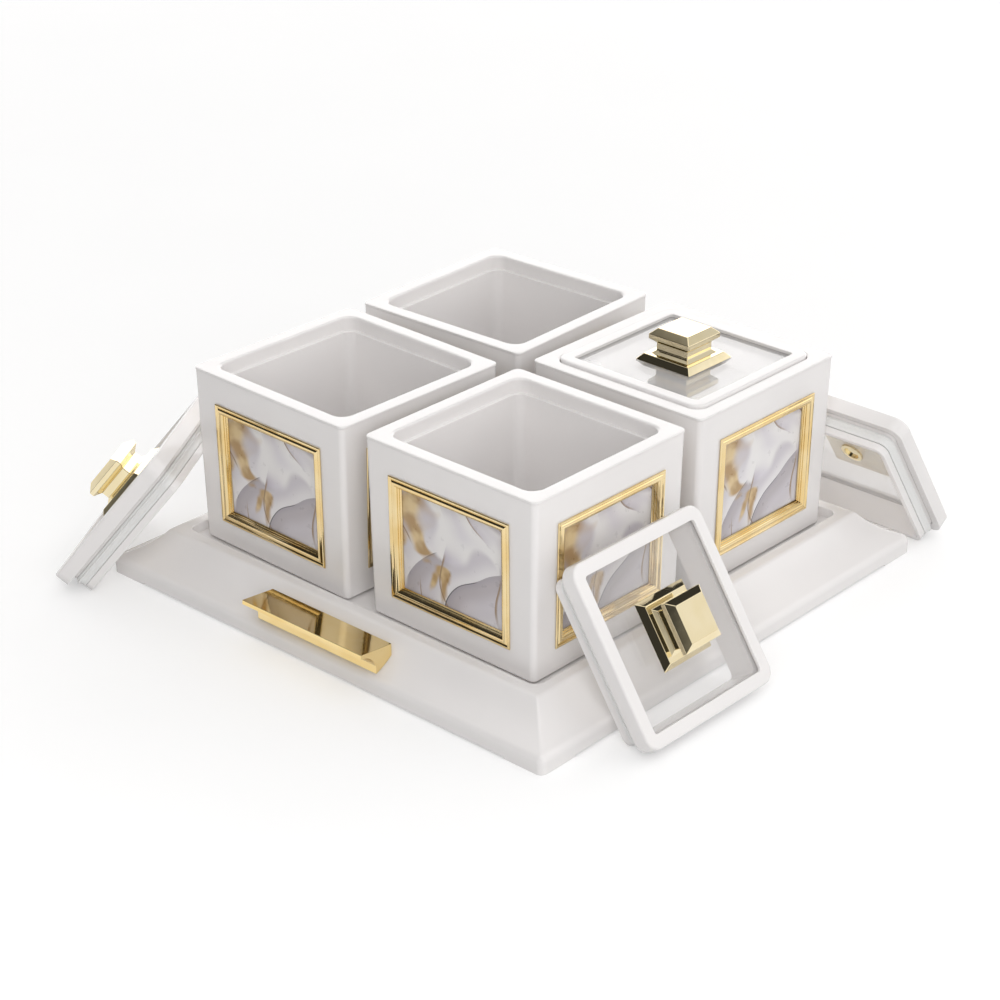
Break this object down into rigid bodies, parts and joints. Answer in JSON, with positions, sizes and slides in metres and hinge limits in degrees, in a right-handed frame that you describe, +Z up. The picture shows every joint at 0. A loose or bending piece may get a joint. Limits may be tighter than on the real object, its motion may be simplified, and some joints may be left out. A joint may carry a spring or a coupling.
{
  "type": "lidded serving tray set",
  "caption": "Square white tray with gold handles and a recess for square canisters with framed print panels and windowed drop-in lids with gold knobs.",
  "frame": {"origin": "middle of the tray on the table, on the flat of its centre foot", "axes": "+Z up; -Y is the side of the front handle; +X to the right of it"},
  "size_m": [0.3728, 0.359, 0.129],
  "materials": {
    "white_plastic": "glossy moulded white plastic",
    "gold_moulding": "yellow gold metallised plastic moulding, bright",
    "pale_gold": "pale gold plated plastic, mirror polished",
    "clear_plastic": "clear window plastic",
    "silicone": "milky silicone seal",
    "printed_sleeve": "satin printed plastic sheet in lilac grey, white and gold",
    "steel": "plated screw steel"
  },
  "bodies": {
    "tray": {"tray": "white_plastic", "handle_front": "pale_gold", "handle_front_screw_left": "steel", "handle_front_screw_right": "steel", "handle_back": "pale_gold", "handle_back_screw_left": "steel", "handle_back_screw_right": "steel"},
    "canister_front_left": {"canister_front_left_outer_shell": "white_plastic", "canister_front_left_inner_tub": "white_plastic", "canister_front_left_printed_sleeve": "printed_sleeve", "canister_front_left_picture_frame_front": "gold_moulding", "canister_front_left_picture_frame_right": "gold_moulding", "canister_front_left_picture_frame_back": "gold_moulding", "canister_front_left_picture_frame_left": "gold_moulding"},
    "canister_front_right": {"canister_front_right_outer_shell": "white_plastic", "canister_front_right_inner_tub": "white_plastic", "canister_front_right_printed_sleeve": "printed_sleeve", "canister_front_right_picture_frame_front": "gold_moulding", "canister_front_right_picture_frame_right": "gold_moulding", "canister_front_right_picture_frame_back": "gold_moulding", "canister_front_right_picture_frame_left": "gold_moulding"},
    "canister_back_left": {"canister_back_left_outer_shell": "white_plastic", "canister_back_left_inner_tub": "white_plastic", "canister_back_left_printed_sleeve": "printed_sleeve", "canister_back_left_picture_frame_front": "gold_moulding", "canister_back_left_picture_frame_right": "gold_moulding", "canister_back_left_picture_frame_back": "gold_moulding", "canister_back_left_picture_frame_left": "gold_moulding"},
    "canister_back_right": {"canister_back_right_outer_shell": "white_plastic", "canister_back_right_inner_tub": "white_plastic", "canister_back_right_printed_sleeve": "printed_sleeve", "canister_back_right_picture_frame_front": "gold_moulding", "canister_back_right_picture_frame_right": "gold_moulding", "canister_back_right_picture_frame_back": "gold_moulding", "canister_back_right_picture_frame_left": "gold_moulding"},
    "lid_seated": {"lid_seated_frame": "white_plastic", "lid_seated_window": "clear_plastic", "lid_seated_plug_ring": "white_plastic", "lid_seated_gasket": "silicone", "lid_seated_knob": "pale_gold"},
    "lid_leaning_right": {"lid_leaning_right_frame": "white_plastic", "lid_leaning_right_window": "clear_plastic", "lid_leaning_right_plug_ring": "white_plastic", "lid_leaning_right_gasket": "silicone", "lid_leaning_right_knob": "pale_gold"},
    "lid_leaning_back": {"lid_leaning_back_frame": "white_plastic", "lid_leaning_back_window": "clear_plastic", "lid_leaning_back_plug_ring": "white_plastic", "lid_leaning_back_gasket": "silicone", "lid_leaning_back_knob": "pale_gold"},
    "lid_leaning_left": {"lid_leaning_left_frame": "white_plastic", "lid_leaning_left_window": "clear_plastic", "lid_leaning_left_plug_ring": "white_plastic", "lid_leaning_left_gasket": "silicone", "lid_leaning_left_knob": "pale_gold"}
  },
  "joints": [
    {"name": "canister_front_left_lift", "type": "slide", "parent": "tray", "child": "canister_front_left", "axis": [0, 0, 1], "range_m": [0, 0.13]},
    {"name": "canister_front_right_lift", "type": "slide", "parent": "tray", "child": "canister_front_right", "axis": [0, 0, 1], "range_m": [0, 0.13]},
    {"name": "canister_back_left_lift", "type": "slide", "parent": "tray", "child": "canister_back_left", "axis": [0, 0, 1], "range_m": [0, 0.13]},
    {"name": "canister_back_right_lift", "type": "slide", "parent": "tray", "child": "canister_back_right", "axis": [0, 0, 1], "range_m": [0, 0.13]},
    {"name": "lid_seated_lift", "type": "slide", "parent": "canister_back_right", "child": "lid_seated", "axis": [0, 0, 1], "range_m": [0, 0.06]},
    {"name": "lid_leaning_right_lift", "type": "slide", "parent": "tray", "child": "lid_leaning_right", "axis": [0.8319, -0.0065, 0.5548], "range_m": [0, 0.12]},
    {"name": "lid_leaning_back_lift", "type": "slide", "parent": "tray", "child": "lid_leaning_back", "axis": [0.0065, 0.8319, 0.5548], "range_m": [0, 0.12]},
    {"name": "lid_leaning_left_lift", "type": "slide", "parent": "tray", "child": "lid_leaning_left", "axis": [-0.6713, -0.4034, 0.6218], "range_m": [0, 0.12]}
  ]
}
